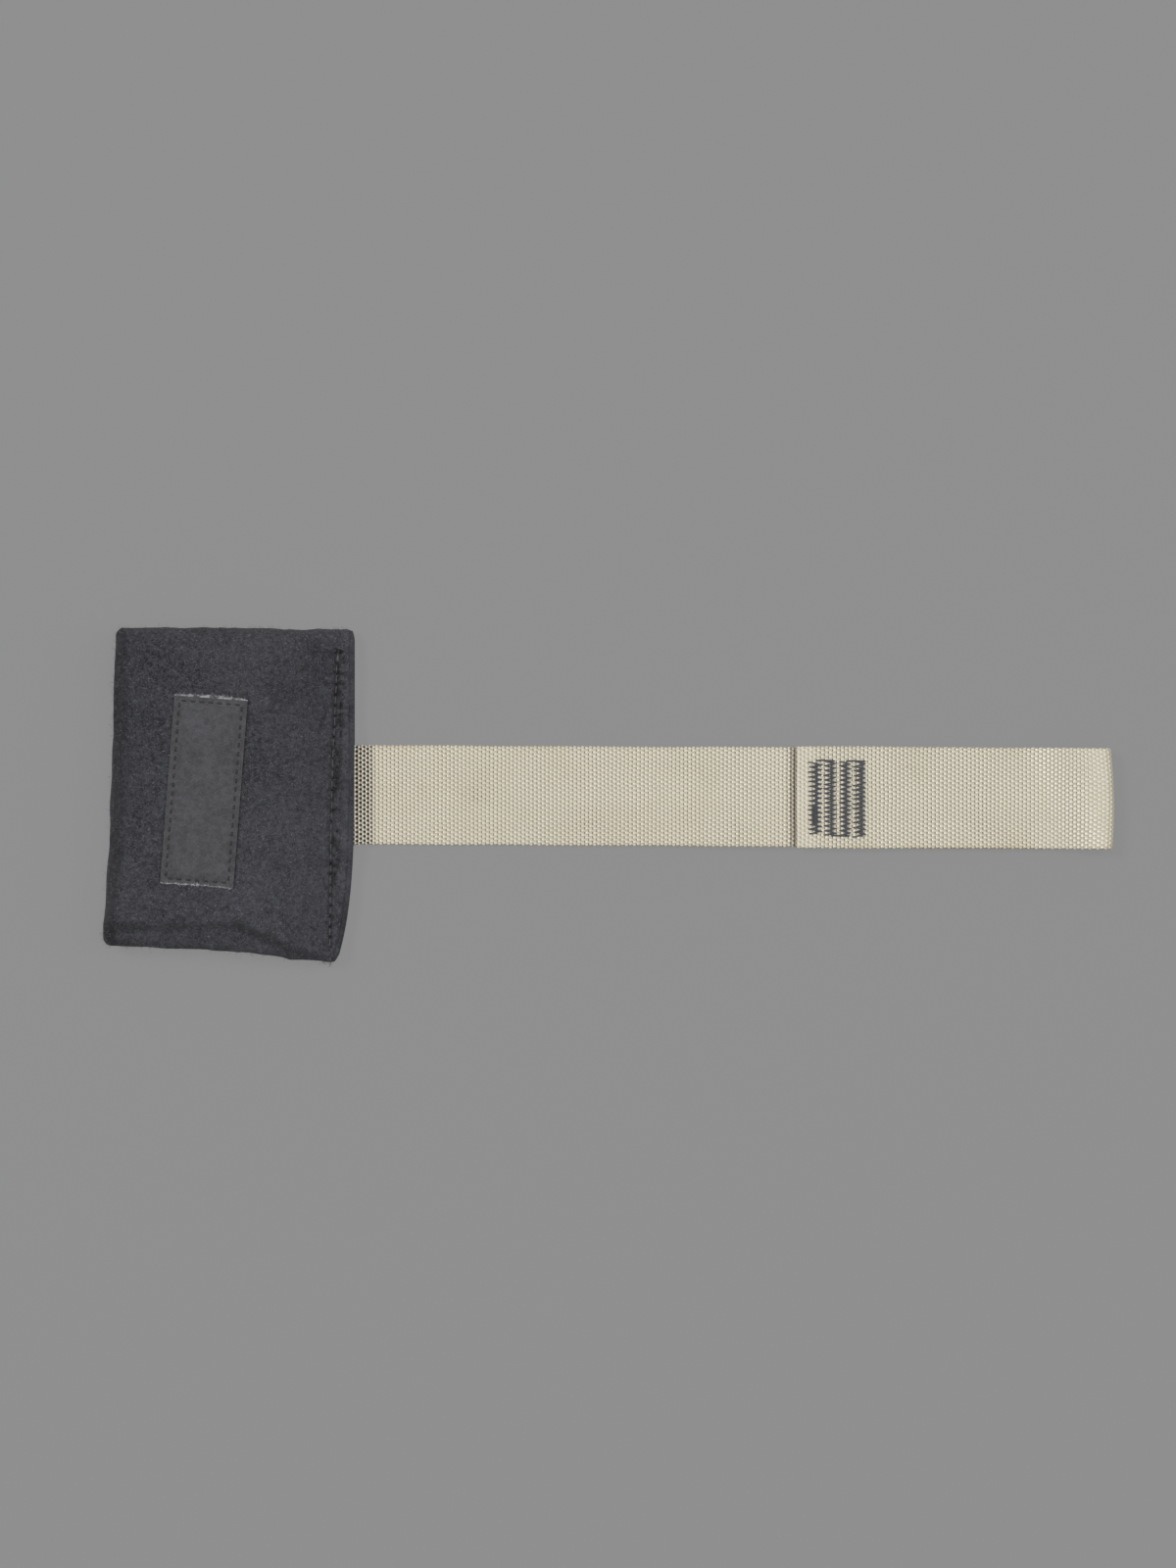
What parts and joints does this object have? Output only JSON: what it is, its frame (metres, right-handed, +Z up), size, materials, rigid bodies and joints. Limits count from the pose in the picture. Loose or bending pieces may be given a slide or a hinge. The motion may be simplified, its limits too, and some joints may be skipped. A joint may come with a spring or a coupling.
{
  "type": "suspension trainer door anchor",
  "caption": "Over-door anchor for a suspension trainer: a padded felt pouch that holds behind a shut door, on webbing that ends in a sewn loop.",
  "frame": {"origin": "on the floor under the centre of the anchor's box, with the anchor on its back", "axes": "+X along the webbing from the pouch to the loop, +Y across the webbing towards the pouch's top edge, +Z up out of the labelled face"},
  "size_m": [0.374, 0.1244, 0.0199],
  "materials": {
    "dark_felt": "matt needle-punched felt",
    "grey_foam": "matt closed-cell foam",
    "sand_webbing": "plain-woven webbing with a slight sheen",
    "label_cloth": "smooth tight weave",
    "dark_thread": "bonded sewing thread"
  },
  "bodies": {
    "pouch": {"back_cover_panel": "dark_felt", "front_cover_panel": "dark_felt", "back_foam_slab": "grey_foam", "front_foam_slab": "grey_foam", "closing_seam_needle_thread": "dark_thread", "closing_seam_bobbin_thread": "dark_thread", "side_seam_thread": "dark_thread", "label_patch": "label_cloth", "label_thread": "dark_thread", "webbing_tail": "sand_webbing", "tail_tack_1_thread": "dark_thread", "tail_tack_2_thread": "dark_thread"},
    "inner_strap": {"webbing_inner_run": "sand_webbing"},
    "outer_strap": {"webbing_outer_run": "sand_webbing"},
    "loop": {"webbing_loop": "sand_webbing", "tack_row_1_needle_thread": "dark_thread", "tack_row_2_needle_thread": "dark_thread", "tack_row_3_needle_thread": "dark_thread", "tack_row_4_needle_thread": "dark_thread", "tack_row_1_bobbin_thread": "dark_thread", "tack_row_2_bobbin_thread": "dark_thread", "tack_row_3_bobbin_thread": "dark_thread", "tack_row_4_bobbin_thread": "dark_thread"}
  },
  "joints": [
    {"name": "mouth_fold", "type": "hinge", "parent": "pouch", "child": "inner_strap", "pos_m": [-0.09095, 0, 0.005], "axis": [0, -1, 0], "range_deg": [-100, 100]},
    {"name": "middle_fold", "type": "hinge", "parent": "inner_strap", "child": "outer_strap", "pos_m": [-0.01215, 0, 0.0008], "axis": [0, -1, 0], "range_deg": [-90, 90]},
    {"name": "lap_fold", "type": "hinge", "parent": "outer_strap", "child": "loop", "pos_m": [0.06665, 0, 0.0017], "axis": [0, -1, 0], "range_deg": [-60, 60]}
  ]
}
